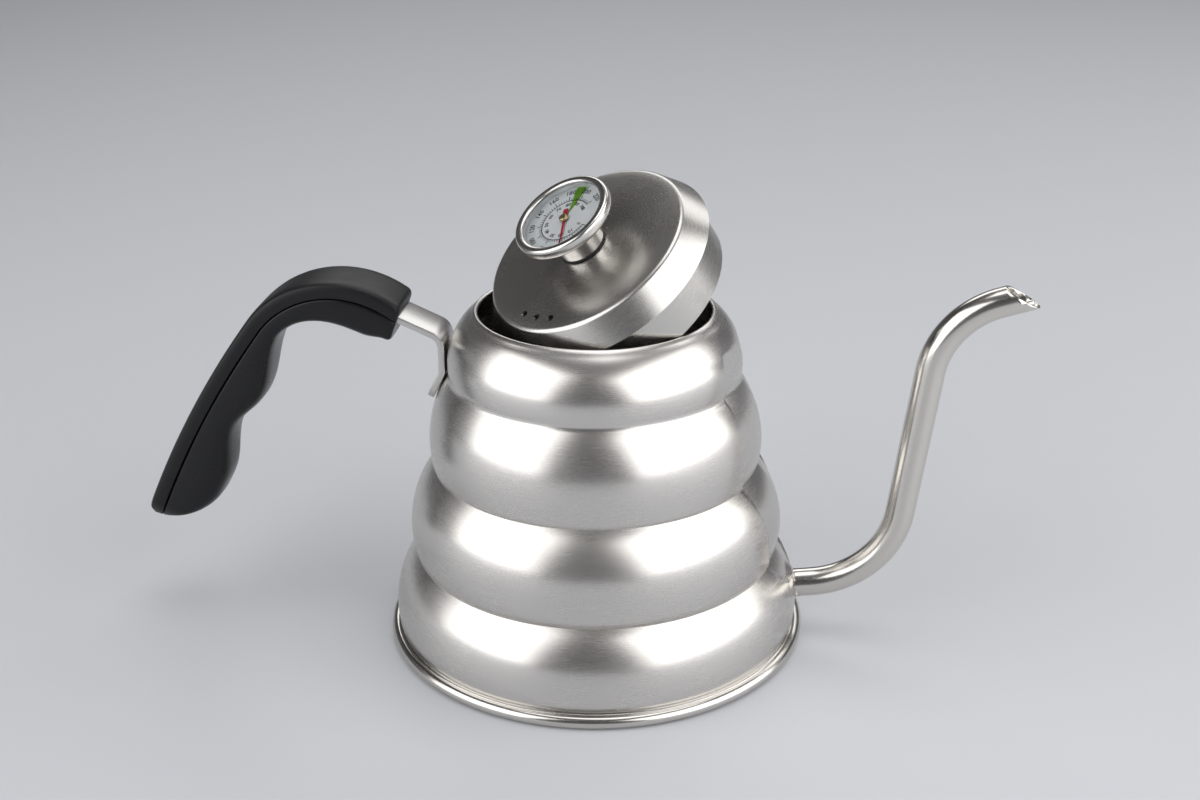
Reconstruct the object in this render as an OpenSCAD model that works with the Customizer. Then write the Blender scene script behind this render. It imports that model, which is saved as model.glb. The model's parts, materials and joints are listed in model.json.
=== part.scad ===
// Gooseneck pouring kettle with a dial thermometer in its lid.
// Origin: centre of the base on the standing plane. +Z up, +X towards the spout, -X towards the handle.

/* [Body] */
// Widest radius of the four tiers, top to bottom
tier_r = [49, 56, 63.4, 69.6]; // [48:0.5:71]
// Height at which each tier is widest
tier_z = [98, 71, 40.8, 11]; // [9:0.5:99]
// Height of the three grooves between the tiers
groove_z = [94, 62.5, 31]; // [30:0.5:95]
// Inner radius of the mouth
mouth_r = 38.4; // [36:0.2:40]
// Height of the mouth's rolled lip
mouth_z = 115.4; // [112:0.2:118]
// Radius of the rolled lip
lip_r = 0.8; // [0.6:0.1:1.2]
// Sheet thickness of the body
body_t = 0.8; // [0.5:0.1:1.2]

/* [Base] */
// Outer radius of the base bead
base_r = 72; // [71:0.5:76]
// Radius of the bead's own section
bead_r = 2.2; // [1.8:0.1:3]
// Sheet thickness of the base
base_t = 0.8; // [0.5:0.1:1.2]

/* [Spout] */
// Outer radius of the spout tube
tube_r = 4.3; // [3.8:0.1:5]
// Wall of the spout tube
tube_t = 0.6; // [0.4:0.1:1]
// Height of the spout's axis where it meets the body
root_z = 17.2; // [14:0.2:20]
// Rise of the tube where it leaves the body, in degrees
root_rise = 8; // [0:1:12]
// Straight length before the lower bend
root_len = 8; // [6:0.5:14]
// Centre radius of the lower bend
low_bend_r = 33; // [28:1:40]
// Lean of the tube's long straight, in degrees from level
riser_lean = 83; // [78:1:87]
// Length of the long straight
riser_len = 51; // [40:1:60]
// Centre radius of the upper bend
top_bend_r = 30; // [24:1:36]
// Rise of the tube at its tip, in degrees
tip_rise = 18; // [10:1:26]
// Straight length after the upper bend, on the tube's axis
tip_len = 7; // [5:0.5:12]
// Fall of the pouring cut, in degrees
tip_cut = 27; // [15:1:40]

/* [Handle] */
// Width of the steel strap
strap_w = 16; // [14:0.5:18]
// Thickness of the steel strap
strap_t = 2.2; // [1.6:0.1:2.6]
// Height of the strap's corner on its centre line
strap_z = 105.8; // [104:0.2:108]
// Climb of the strap towards the grip, in degrees
strap_climb = 24; // [20:1:28]
// Width of the grip
grip_w = 21; // [19:0.5:24]
// Thickness of the grip's upper shell
grip_cap = 5.5; // [4:0.5:7]

/* [Lid] */
// Overlap of the lid's flange on the mouth
lid_lap = 1.7; // [1.2:0.1:3]
// Width of the lid's sloping side band
lid_band = 5.4; // [3:0.1:8]
// Height of the top edge above the flange
lid_h = 8.9; // [7:0.1:12]
// Rise of the lid's top from its edge to the middle
lid_crown = 1.4; // [0.6:0.1:3]
// Sheet thickness of the lid
lid_t = 0.8; // [0.5:0.1:1.2]
// Clearance of the skirt inside the mouth
skirt_gap = 0.7; // [0.4:0.1:1]
// Depth of the skirt below the flange
skirt_h = 14.2; // [10:0.2:18]
// Tilt of the lid as it leans in the mouth, in degrees
lid_tilt = 35.8; // [35:0.1:36.5]
// Radius of the steam vents
vent_r = 1.15; // [0.8:0.05:1.5]

/* [Thermometer] */
// Outer radius of the bezel
dial_r = 16.8; // [15:0.2:20]
// Height of the thermometer's head
head_h = 6.2; // [5:0.1:8]
// Radius of the neck below the head
neck_r = 7.9; // [7:0.1:9]
// Length of the neck
neck_h = 8; // [6:0.1:10]
// Radius of the stem
stem_r = 2; // [1.8:0.1:2.4]
// Length of the stem below the lid's flange
stem_len = 80; // [60:1:82]
// Resting angle of the pointer, in degrees
pointer_turn = 263; // [200:1:320]

/* [Hidden] */
$fn = 96;
steel = [0.78, 0.77, 0.75];
dark_steel = [0.55, 0.54, 0.52];
black = [0.09, 0.09, 0.1];
// Gap left between pieces that are welded or pushed together
seat = 0.05;
// Gap left between pieces that move apart
clear = 0.3;
shell_z = 2 * bead_r + 0.2;
// Ledge inside the base bead that carries the shell
rim_w = 1.5;

// ---- Body ----
// Each tier is one arc: it starts at the groove above it and is widest at tier_z.
// Depth of the lip's centre inside the top tier's outer face
lip_set = 0.488;
mouth_in = tier_r[0] - mouth_r - lip_r;
mouth_up = mouth_z - tier_z[0];
top_arc_r = (mouth_in * mouth_in + mouth_up * mouth_up - lip_set * lip_set) / (2 * (mouth_in - lip_set));
// Small step at each groove
groove_set = 0.15;
function arc_r(i) = i == 0 ? top_arc_r
    : let (dx = tier_r[i] - wall_r(i - 1, groove_z[i - 1]) + groove_set, dz = groove_z[i - 1] - tier_z[i])
      (dx * dx + dz * dz) / (2 * dx);
function wall_r(i, z, t = 0) =
    let (q = arc_r(i)) tier_r[i] - q + sqrt(pow(q - t, 2) - pow(z - tier_z[i], 2));
function tier_low(i) = i == 3 ? shell_z : groove_z[i];
function tier_high(i) = i == 0 ? tier_z[0] + top_arc_r : groove_z[i - 1];

module tier_2d(i, t) {
    q = arc_r(i);
    low = tier_low(i) - (i == 3 && t > 0 ? 1 : 0);
    band = tier_high(i) - low;
    intersection() {
        union() {
            translate([tier_r[i] - q, tier_z[i]]) circle(q - t);
            translate([0, low]) square([tier_r[i] - q, i == 0 ? tier_z[0] + q - t - low : band]);
        }
        translate([0, low]) square([tier_r[i] + 1, band]);
    }
}

module body_shell() {
    color(steel) difference() {
        rotate_extrude() {
            difference() {
                for (i = [0:3]) tier_2d(i, 0);
                for (i = [0:3]) tier_2d(i, body_t);
                square([mouth_r + lip_r, 2 * mouth_z]);
            }
            translate([mouth_r + lip_r, mouth_z]) circle(lip_r);
        }
        spout_root(tube_r + seat);
    }
}

module base_pan() {
    bead_at = base_r - bead_r;
    rim_in = wall_r(3, shell_z, body_t) - rim_w;
    color(dark_steel) rotate_extrude() {
        translate([bead_at, bead_r + seat]) circle(bead_r);
        square([bead_at, base_t]);
        translate([rim_in, 0]) square([bead_at - rim_in, shell_z]);
    }
}

// ---- Spout ----
root_x = wall_r(3, root_z) - 2 * body_t;
low_x = root_x + root_len * cos(root_rise);
low_z = root_z + root_len * sin(root_rise);
mid_x = low_x + low_bend_r * (sin(riser_lean) - sin(root_rise));
mid_z = low_z + low_bend_r * (cos(root_rise) - cos(riser_lean));
high_x = mid_x + riser_len * cos(riser_lean);
high_z = mid_z + riser_len * sin(riser_lean);
end_x = high_x + top_bend_r * (sin(riser_lean) - sin(tip_rise));
end_z = high_z + top_bend_r * (cos(tip_rise) - cos(riser_lean));
tip_x = end_x + tip_len * cos(tip_rise);
tip_z = end_z + tip_len * sin(tip_rise);

// The tube's centre line as [x, z, lean]: straight, bend up, straight, bend over, straight
bend_steps = 10;
spout_reach = tip_len + 4 * tube_r;
function spread(from, to, steps) = [for (k = [0:steps]) from + (to - from) * k / steps];
function spout_path(over) = concat(
    [[root_x - over * cos(root_rise), root_z - over * sin(root_rise), root_rise]],
    [for (a = spread(root_rise, riser_lean, bend_steps))
        [low_x + low_bend_r * (sin(a) - sin(root_rise)), low_z + low_bend_r * (cos(root_rise) - cos(a)), a]],
    [for (a = spread(riser_lean, tip_rise, bend_steps))
        [high_x + top_bend_r * (sin(riser_lean) - sin(a)), high_z + top_bend_r * (cos(a) - cos(riser_lean)), a]],
    [[end_x + (spout_reach + over) * cos(tip_rise), end_z + (spout_reach + over) * sin(tip_rise), tip_rise]]);
tube_sides = 24;
function ring(p, r) = [for (k = [0:tube_sides - 1]) let (b = 360 * k / tube_sides)
    [p[0] - r * cos(b) * sin(p[2]), r * sin(b), p[1] + r * cos(b) * cos(p[2])]];

// A closed solid through a row of slices that have the same number of points
module sweep(slices, flip) {
    n = len(slices[0]);
    last = len(slices) - 1;
    sides = [for (j = [0:last - 1]) for (k = [0:n - 1]) for (half = [0, 1])
             let (a = j * n + k, b = j * n + (k + 1) % n)
             half == 0 ? [a, b, b + n] : [a, b + n, a + n]];
    caps = [[for (k = [n - 1:-1:0]) k], [for (k = [0:n - 1]) last * n + k]];
    faces = concat(sides, caps);
    polyhedron([for (row = slices) for (p = row) p],
               [for (f = faces) flip ? [for (k = [len(f) - 1:-1:0]) f[k]] : f]);
}

module spout_root(r) {
    translate([root_x, 0, root_z]) rotate([0, 90 - root_rise, 0]) translate([0, 0, -2])
        cylinder(r = r, h = root_len);
}

module spout_tube() {
    color(steel) difference() {
        sweep([for (p = spout_path(0)) ring(p, tube_r)], false);
        sweep([for (p = spout_path(1)) ring(p, tube_r - tube_t)], false);
        translate([tip_x, 0, tip_z]) rotate([0, tip_cut, 0])
            translate([-40, -10, 0]) cube([80, 20, 40]);
    }
}

module spout_weld() {
    ring_r = 0.7;
    along = 2 * body_t + 1.1;
    color(steel) translate([root_x + along * cos(root_rise), 0, root_z + along * sin(root_rise)])
        rotate([0, 90 - root_rise, 0]) rotate_extrude() difference() {
            translate([tube_r + 0.2, 0]) circle(ring_r);
            translate([0, -2]) square([tube_r + seat, 4]);
        }
}

// ---- Handle ----
// The strap runs up from its foot on the second tier, turns over the shoulder and climbs into the grip.
strap_x = -(tier_r[0] + clear + strap_t / 2);
corner_r = 5;
foot_z = 88.5;
foot_lean = asin((foot_z - tier_z[1]) / arc_r(1));
foot_len = 10.5;
foot_bend_r = 6;
foot_round = 5;
foot_x = -(wall_r(1, foot_z) + (strap_t / 2 + seat) * cos(foot_lean));
foot_mid_z = foot_z + (strap_t / 2 + seat) * sin(foot_lean);
leg_low = foot_mid_z + (strap_x - foot_x) / tan(foot_lean);
bend_set = foot_bend_r * tan(foot_lean / 2);
leg_top = strap_z - corner_r * (1 - sin(strap_climb)) / cos(strap_climb);
climb_x = strap_x - corner_r * (1 - sin(strap_climb));
climb_z = leg_top + corner_r * cos(strap_climb);
climb_len = 22;
climb_turn = 180 - strap_climb;
tang_r = 30;
tang_sweep = 40;
foot_turn = 90 - foot_lean;
arc_steps = 8;

// Stations [x, z, heading] round an arc that starts at p and turns left
function turn_left(p, r, to) = [for (a = spread(p[2], to, arc_steps))
    [p[0] + r * (sin(a) - sin(p[2])), p[1] + r * (cos(p[2]) - cos(a)), a]];
function ahead(p, far) = [p[0] + far * cos(p[2]), p[1] + far * sin(p[2]), p[2]];
function tang_path(over) = let (start = [climb_x, climb_z, climb_turn])
    concat([start], turn_left(ahead(start, climb_len), tang_r, climb_turn + tang_sweep + over));
function strap_path() = let (
    low = [strap_x - foot_bend_r * (1 - cos(foot_lean)),
           leg_low + bend_set - foot_bend_r * sin(foot_lean), foot_turn])
    concat([ahead(low, -foot_len)], turn_left(low, foot_bend_r, 90),
           turn_left([strap_x, leg_top, 90], corner_r, climb_turn),
           [for (i = [1:arc_steps + 1]) tang_path(0)[i]]);

// A bar of thickness t and width w along a row of stations
module bar(path, t, w) {
    last = len(path) - 1;
    rotate([90, 0, 0]) translate([0, 0, -w / 2]) linear_extrude(w) polygon(concat(
        [for (p = path) [p[0] - t / 2 * sin(p[2]), p[1] + t / 2 * cos(p[2])]],
        [for (i = [last:-1:0]) let (p = path[i]) [p[0] + t / 2 * sin(p[2]), p[1] - t / 2 * cos(p[2])]]));
}

module tang(grow, over) {
    bar(tang_path(over), strap_t + 2 * grow, strap_w + 2 * grow);
}

module handle_strap() {
    end = strap_path()[0];
    color(steel) difference() {
        bar(strap_path(), strap_t, strap_w);
        screw_hole(front_screw, screw_r + clear);
        translate([end[0], 0, end[1]]) rotate([0, 90 - foot_turn, 0]) difference() {
            translate([-strap_t, -strap_w, -1]) cube([2 * strap_t, 2 * strap_w, foot_round + 1]);
            translate([-2 * strap_t, 0, strap_w / 2 + 0.01]) rotate([0, 90, 0])
                cylinder(r = strap_w / 2 + 0.2, h = 4 * strap_t);
        }
    }
}

// The grip's top follows a small arc over the strap, then a large one down the back.
grip_arc_r = 37.7;
grip_back_r = 340;
grip_x = -86;
grip_z = 87.1;
grip_start = 52;
grip_end = 142.6;
grip_arc_len = grip_arc_r * (grip_end - grip_start) * PI / 180;
grip_len = grip_arc_len + 84.5;
tail_start = grip_len - 17.5;
// Depth of the grip at each crest and hollow along its length
grip_wave = [[0, 14], [10, 17], [56, 11.6], [83, 18.6], [98, 15.7], [121, 21.5], [grip_len, 20.5]];
grip_steps = 46;
section_steps = 12;
front_screw = 25;
rear_screw = 98;
screw_r = 1.5;
screw_head_r = 2.6;
screw_head_h = 1.6;
screw_sunk = 1;
screw_bite = 2.5;

function grip_back(s) = max(0, s - grip_arc_len);
function grip_turn(s) = grip_start + min(s, grip_arc_len) / grip_arc_r * 180 / PI
    + grip_back(s) / grip_back_r * 180 / PI;
function grip_top(s) = let (a = grip_turn(s), far = s > grip_arc_len, r = far ? grip_back_r : grip_arc_r,
                            shift = far ? grip_arc_r - grip_back_r : 0)
    [grip_x + shift * cos(grip_end) + r * cos(a), grip_z + shift * sin(grip_end) + r * sin(a)];
function grip_down(s) = max(250, grip_turn(s) + 180);
function ease(u) = (1 - cos(180 * u)) / 2;
function wave_span(s, i = 0) = i == len(grip_wave) - 2 || s < grip_wave[i + 1][0] ? i : wave_span(s, i + 1);
function wave(s) = let (i = wave_span(s), a = grip_wave[i], b = grip_wave[i + 1])
    a[1] + (b[1] - a[1]) * ease((s - a[0]) / (b[0] - a[0]));
function tail(s) = let (u = max(0, s - tail_start) / (grip_len - tail_start)) sqrt(max(0, 1 - u * u));
function grip_depth(s) = wave(s) * tail(s);
function grip_point(s, y, deep) = let (p = grip_top(s), a = grip_down(s))
    [p[0] + deep * cos(a), y, p[1] + deep * sin(a)];

// One slice of the grip: flat at from, rounded at to
function slice(s, half, from, to, blunt) = [for (k = [0:section_steps])
    let (b = 180 * k / section_steps, c = cos(b))
    grip_point(s, half * sign(c) * pow(abs(c), blunt), from + (to - from) * pow(sin(b), blunt))];

module grip_frame(s) {
    translate(grip_point(s, 0, 0)) rotate([0, 90 - grip_down(s), 0]) children();
}

function head_at(s) = grip_depth(s) - screw_head_h - screw_sunk;

module screw_hole(s, r) {
    grip_frame(s) translate([0, 0, grip_cap - screw_bite - clear]) cylinder(r = r, h = 40);
}

module grip_upper() {
    stop = grip_len - 0.4;
    color(black) difference() {
        sweep([for (j = [0:grip_steps]) let (s = stop * j / grip_steps)
               slice(s, grip_w / 2, min(grip_cap, grip_depth(s)), 0, 0.4)], true);
        tang(seat, 1);
        screw_hole(front_screw, screw_r + seat);
        screw_hole(rear_screw, screw_r + seat);
    }
}

module grip_lower() {
    stop = tail_start + (grip_len - tail_start) * 0.94;
    under = grip_cap + seat;
    color(black) difference() {
        sweep([for (j = [0:grip_steps]) let (s = stop * j / grip_steps)
               slice(s, grip_w / 2 - 0.4, under, grip_depth(s), 0.7)], false);
        tang(seat, 1);
        for (s = [front_screw, rear_screw]) {
            screw_hole(s, screw_r + seat);
            grip_frame(s) translate([0, 0, head_at(s) - seat]) cylinder(r = screw_head_r + seat, h = 10);
        }
    }
}

module grip_screw(s) {
    low = grip_cap - screw_bite;
    color(dark_steel) grip_frame(s) {
        translate([0, 0, low]) cylinder(r = screw_r, h = head_at(s) - low);
        translate([0, 0, head_at(s)]) cylinder(r = screw_head_r, h = screw_head_h);
    }
}

// ---- Lid ----
// Everything from here on is drawn on the lid's own axis and leans with it.
lid_lean_to = 222.2;
lid_x = 1.2;
lid_y = 0.85;
lid_rise = 14.6;
lid_r = mouth_r + lid_lap;
lid_top_r = lid_r - lid_band;
skirt_r = mouth_r - skirt_gap;
skirt_flange = 0.4;
collar_r = neck_r + 0.2;
grommet_r = 5;
grommet_lip = 1.5;
// Thin collar of the grommet between lid and neck
collar_h = 0.5;
crown_r = (lid_top_r * lid_top_r + lid_crown * lid_crown) / (2 * lid_crown);
lid_mid = lid_h + lid_crown;
// Distance from the top's edge to the vents
vent_in = 5;
vent_at = lid_top_r - vent_in;
vent_turn = 235.2;
vent_step = 11.5;

module on_lid() {
    translate([lid_x, lid_y, mouth_z + lid_rise]) rotate([0, 0, lid_lean_to])
        rotate([0, lid_tilt, 0]) rotate([0, 0, -lid_lean_to]) children();
}

module lid_2d(t) {
    intersection() {
        translate([0, lid_mid - crown_r]) circle(crown_r - t, $fn = 360);
        polygon([[0, 0], [lid_r - t, 0], [lid_top_r - t, lid_h - t], [lid_top_r - t, lid_mid], [0, lid_mid]]);
    }
}

module lid_cover() {
    color(steel) on_lid() difference() {
        rotate_extrude() {
            difference() {
                lid_2d(0);
                lid_2d(lid_t);
            }
            translate([skirt_r + seat, 0]) square([lid_r - skirt_r - lid_t, lid_t]);
        }
        cylinder(r = grommet_r + seat, h = 2 * lid_mid);
        for (turn = [-vent_step, 0, vent_step])
            rotate([0, 0, vent_turn + turn]) translate([vent_at, 0, lid_h / 2])
                cylinder(r = vent_r, h = lid_mid);
    }
}

module lid_skirt() {
    color(steel) on_lid() rotate_extrude() {
        translate([skirt_r - lid_t, -skirt_h]) square([lid_t, skirt_h + 2 * lid_t]);
        translate([skirt_r - lid_t, lid_t]) square([lid_t + skirt_flange, lid_t]);
    }
}

module stem_grommet() {
    under = lid_mid - lid_t - grommet_lip;
    color(black) on_lid() rotate_extrude() difference() {
        union() {
            translate([0, lid_mid]) square([collar_r, collar_h]);
            translate([0, under]) square([grommet_r, grommet_lip + lid_t]);
            translate([0, under]) square([grommet_r + 1.6, grommet_lip - 0.1]);
        }
        translate([0, 0]) square([stem_r + seat, 2 * lid_mid]);
    }
}

module grommet_washer() {
    under = lid_mid - lid_t - grommet_lip;
    color(dark_steel) on_lid() rotate_extrude()
        translate([stem_r + clear, under - 1]) square([grommet_r + 0.7, 1]);
}

// ---- Thermometer ----
neck_low = lid_mid + collar_h + clear;
case_low = neck_low + neck_h;
head_top = case_low + head_h;
case_r = dial_r - 0.8;
case_t = 0.6;
bezel_h = 3.4;
glass_t = 1.2;
glass_r = case_r - case_t - 0.3;
bezel_lip = 0.8;
glass_low = head_top - bezel_lip - seat - glass_t;
gasket_h = 0.8;
plate_t = 0.4;
plate_z = glass_low - 2.2;
needle_z = plate_z + plate_t + 0.5;
shaft_r = 0.5;
shaft_clear = 0.05;

module case_cup() {
    color(steel) on_lid() rotate_extrude() difference() {
        polygon([[0, case_low], [case_r - 1.6, case_low], [case_r, case_low + 1.4],
                 [case_r, head_top - 1.2], [0, head_top - 1.2]]);
        polygon([[0, case_low + case_t], [case_r - 1.9, case_low + case_t],
                 [case_r - case_t, case_low + 1.9], [case_r - case_t, head_top], [0, head_top]]);
        square([stem_r + seat, head_top]);
    }
}

module case_neck() {
    neck_t = 0.8;
    color(steel) on_lid() rotate_extrude() difference() {
        translate([0, neck_low]) square([neck_r, neck_h - seat]);
        translate([0, neck_low + neck_t]) square([neck_r - neck_t, neck_h]);
        square([stem_r + seat, head_top]);
    }
}

module bezel_ring() {
    round_r = 0.9;
    low = head_top - bezel_h;
    color(steel) on_lid() rotate_extrude() difference() {
        union() {
            translate([0, low]) square([dial_r, bezel_h - round_r]);
            translate([0, low]) square([dial_r - round_r, bezel_h]);
            translate([dial_r - round_r, head_top - round_r]) circle(round_r);
        }
        translate([0, low - 1]) square([case_r + seat, bezel_h - bezel_lip + 1]);
        square([glass_r - 1, 2 * head_top]);
    }
}

module lens() {
    color([0.9, 0.95, 0.97, 0.4]) on_lid() translate([0, 0, glass_low]) cylinder(r = glass_r, h = glass_t);
}

module lens_gasket() {
    color(black) on_lid() rotate_extrude()
        translate([glass_r - 1, glass_low - seat - gasket_h]) square([1.2, gasket_h]);
}

module dial_plate() {
    plate_in = shaft_r + 1.4;
    post_in = stem_r + 1.5;
    floor_z = case_low + case_t;
    color("white") on_lid() rotate_extrude() {
        translate([plate_in, plate_z]) square([case_r - case_t - seat - plate_in, plate_t]);
        translate([post_in, floor_z]) square([1, plate_z - floor_z]);
    }
}

stem_t = 0.4;
plug_h = 3;
brass = [0.8, 0.65, 0.3];

module stem_tube() {
    flange_w = 1.2;
    flange_h = 0.5;
    low = stem_r - stem_len;
    color(steel) on_lid() rotate_extrude() {
        translate([stem_r - stem_t, low]) square([stem_t, case_low + case_t - low]);
        translate([stem_r - stem_t, case_low + case_t]) square([stem_t + flange_w, flange_h]);
    }
}

module stem_tip() {
    color(steel) on_lid() translate([0, 0, stem_r - stem_len]) {
        cylinder(r = stem_r - stem_t - seat, h = plug_h);
        intersection() {
            sphere(stem_r);
            translate([0, 0, -stem_r]) cylinder(r = stem_r, h = stem_r);
        }
    }
}

module bush(z) {
    bush_h = 1.6;
    color(brass) on_lid() translate([0, 0, z]) difference() {
        cylinder(r = stem_r - stem_t - seat, h = bush_h);
        translate([0, 0, -1]) cylinder(r = shaft_r + shaft_clear, h = bush_h + 2);
    }
}

module upper_bush() {
    bush(case_low - 2);
}

module lower_bush() {
    bush(stem_len / 2 - stem_len + 2);
}

// The bimetal coil: turns of flat strip tied along one side and fixed on the tip plug
coil_turns = 14;
coil_pitch = 1.6;
coil_strip = 0.9;
coil_low = stem_r - stem_len + plug_h + seat;
coil_clear = 0.25;

module bimetal_coil() {
    inner = shaft_r + coil_clear;
    outer = stem_r - stem_t - coil_clear;
    tie_w = 0.3;
    color(brass) on_lid() translate([0, 0, coil_low]) {
        rotate_extrude() for (k = [0:coil_turns])
            translate([inner, k * coil_pitch]) square([outer - inner, coil_strip]);
        translate([inner + seat, -tie_w / 2, 0])
            cube([outer - inner - 2 * seat, tie_w, coil_turns * coil_pitch + coil_strip / 2]);
    }
}

// ---- Pointer ----
hub_r = 1.5;
needle_len = 11.5;
needle_tail = 4.4;

module on_dial() {
    on_lid() rotate([0, 0, pointer_turn]) children();
}

needle_t = 0.4;
hub_h = 0.6;
hub_fit = 0.02;

module pointer_needle() {
    color([0.8, 0.1, 0.15]) on_dial() translate([0, 0, needle_z]) difference() {
        linear_extrude(needle_t) polygon([[-needle_tail, -0.9], [0, -0.6], [needle_len, -0.15],
                                          [needle_len, 0.15], [0, 0.6], [-needle_tail, 0.9]]);
        translate([0, 0, -1]) cylinder(r = shaft_r + hub_fit, h = 3);
    }
}

module pointer_hub() {
    color(dark_steel) on_dial() translate([0, 0, needle_z + needle_t + hub_fit]) difference() {
        cylinder(r = hub_r, h = hub_h);
        translate([0, 0, -1]) cylinder(r = shaft_r + hub_fit, h = 3);
    }
}

module pointer_shaft() {
    low = coil_low + coil_strip;
    top = needle_z + needle_t + hub_h;
    color(dark_steel) on_dial() translate([0, 0, low]) cylinder(r = shaft_r, h = top - low);
}

body_shell();
base_pan();
spout_tube();
spout_weld();
handle_strap();
grip_upper();
grip_lower();
grip_screw(front_screw);  // grip_screw_front
grip_screw(rear_screw);  // grip_screw_rear
lid_cover();
lid_skirt();
stem_grommet();
grommet_washer();
case_cup();
case_neck();
bezel_ring();
lens();
lens_gasket();
dial_plate();
stem_tube();
stem_tip();
upper_bush();
lower_bush();
bimetal_coil();
pointer_needle();
pointer_hub();
pointer_shaft();
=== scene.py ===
# %% [markdown]
# # A gooseneck pouring kettle
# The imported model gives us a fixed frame: hidden working parts, the bodies that they move with, and their
# joints. We could move that model's own meshes about, but then the two would drift apart. Instead we build
# the visible skin round it, in the same place, and say which body each piece rides on.

# %% Load the frame
import json
import math
import bpy
import bmesh
from mathutils import Matrix, Vector


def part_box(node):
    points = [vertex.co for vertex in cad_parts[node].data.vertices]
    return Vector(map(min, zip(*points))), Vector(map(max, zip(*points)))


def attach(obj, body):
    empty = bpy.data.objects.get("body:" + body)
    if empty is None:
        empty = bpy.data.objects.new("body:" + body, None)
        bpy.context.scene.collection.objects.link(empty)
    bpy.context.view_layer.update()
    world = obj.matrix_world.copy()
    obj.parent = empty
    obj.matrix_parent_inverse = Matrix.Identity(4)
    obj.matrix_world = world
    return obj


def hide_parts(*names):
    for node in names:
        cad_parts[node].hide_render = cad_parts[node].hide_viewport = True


MM = 0.001
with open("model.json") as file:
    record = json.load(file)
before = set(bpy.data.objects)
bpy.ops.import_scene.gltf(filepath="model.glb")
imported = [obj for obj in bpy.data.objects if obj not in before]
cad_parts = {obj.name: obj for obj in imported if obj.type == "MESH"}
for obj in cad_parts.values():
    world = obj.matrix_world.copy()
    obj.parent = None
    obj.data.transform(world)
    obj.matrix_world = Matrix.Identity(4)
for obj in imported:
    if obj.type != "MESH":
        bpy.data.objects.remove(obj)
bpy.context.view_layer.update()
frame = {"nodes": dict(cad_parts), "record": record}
joints = {joint["name"]: joint for joint in frame["record"]["behaviour"]["joints"]}


def node_reach(node, axis):
    """How far a hidden node reaches along an axis, in millimetres to a tenth."""
    return round(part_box(node)[1][axis] / MM, 1)


# %% [markdown]
# ## Small tools
# Every piece is drawn in millimetres, as a maker would, and scaled to metres once at the end. Each piece
# needs the same last steps: close it, turn its faces outwards, smooth it, and tell the frame what it is.
# One helper does all of that, so no piece can miss a step.

# %% Finish a piece
made = {}


def finish_piece(bm, name, body, replaces=(), place=None, sharp=35, merge=0.002):
    if merge:
        bmesh.ops.remove_doubles(bm, verts=bm.verts, dist=merge)
    bmesh.ops.recalc_face_normals(bm, faces=bm.faces)
    bmesh.ops.transform(bm, matrix=Matrix.Scale(MM, 4) @ (place or Matrix()), verts=bm.verts)
    mesh = bpy.data.meshes.new(name)
    bm.to_mesh(mesh)
    bm.free()
    for face in mesh.polygons:
        face.use_smooth = True
    mesh.set_sharp_from_angle(angle=math.radians(sharp))
    piece = bpy.data.objects.new(name, mesh)
    bpy.context.scene.collection.objects.link(piece)
    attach(piece, body)
    if replaces:
        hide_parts(*replaces)
    made[name] = piece
    print(name, len(mesh.polygons), "faces")
    return piece


# %% [markdown]
# Most of this kettle is turned or pressed round a former, so nearly every section is a circle. A cylinder
# cut and scaled ring by ring would work, but a lathe says the shape in one line: a profile of (radius,
# height) points is spun once round the axis, and the seam is merged.

# %% The lathe
def lathe(profile, steps=180, closed=True):
    bm = bmesh.new()
    line = [bm.verts.new((r, 0, z)) for r, z in profile]
    for a, b in zip(line, line[1:]):
        bm.edges.new((a, b))
    if closed:
        bm.edges.new((line[-1], line[0]))
    bmesh.ops.spin(bm, geom=bm.verts[:] + bm.edges[:], cent=(0, 0, 0), axis=(0, 0, 1),
                   angle=2 * math.pi, steps=steps, use_merge=True)
    return bm


def arc(cx, cz, r, start, end, steps):
    angles = [math.radians(start + (end - start) * k / steps) for k in range(steps + 1)]
    return [(cx + r * math.cos(a), cz + r * math.sin(a)) for a in angles]


def fillet(points, radius, steps=4):
    """Round the inner corners of an open run of points."""
    out = [points[0]]
    for a, b, c in zip(points, points[1:], points[2:]):
        a, b, c = Vector(a), Vector(b), Vector(c)
        u, v = (a - b), (c - b)
        cut = min(radius, u.length * 0.45, v.length * 0.45)
        p, q = b + u.normalized() * cut, b + v.normalized() * cut
        for k in range(steps + 1):
            t = k / steps
            out.append(tuple(p * (1 - t) ** 2 + b * 2 * t * (1 - t) + q * t ** 2))
    return out + [points[-1]]


print("tools ready: finish_piece, lathe, arc, fillet")


# %% [markdown]
# ## The body
# The real body is one sheet, bulged over a former into four tiers with grooves between them. It could be a
# smooth subdivided cage, but the grooves would go soft. We turn the true section instead: each tier is one
# round arc that starts at the groove above it, and the lip is a small arc rolled outwards.

# %% The body's profile
TIER_R = [49, 56, 63.4, 69.6]
TIER_Z = [98, 71, 40.8, 11]
GROOVE_Z = [94, 62.5, 31]
GROOVE_SET = 0.15
SHELL_LOW = 4.6
SHEET = 0.8
MOUTH_R, LIP_R = 38.4, 0.8
MOUTH_Z = round(node_reach("body_shell", 2) - LIP_R, 1)
TOP_ARC = 21.4


def tier_arc(i):
    if i == 0:
        return TOP_ARC
    dx = TIER_R[i] - tier_wall(i - 1, GROOVE_Z[i - 1]) + GROOVE_SET
    dz = GROOVE_Z[i - 1] - TIER_Z[i]
    return (dx * dx + dz * dz) / (2 * dx)


def tier_wall(i, z, inset=0.0):
    q = tier_arc(i)
    return TIER_R[i] - q + math.sqrt((q - inset) ** 2 - (z - TIER_Z[i]) ** 2)


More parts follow.
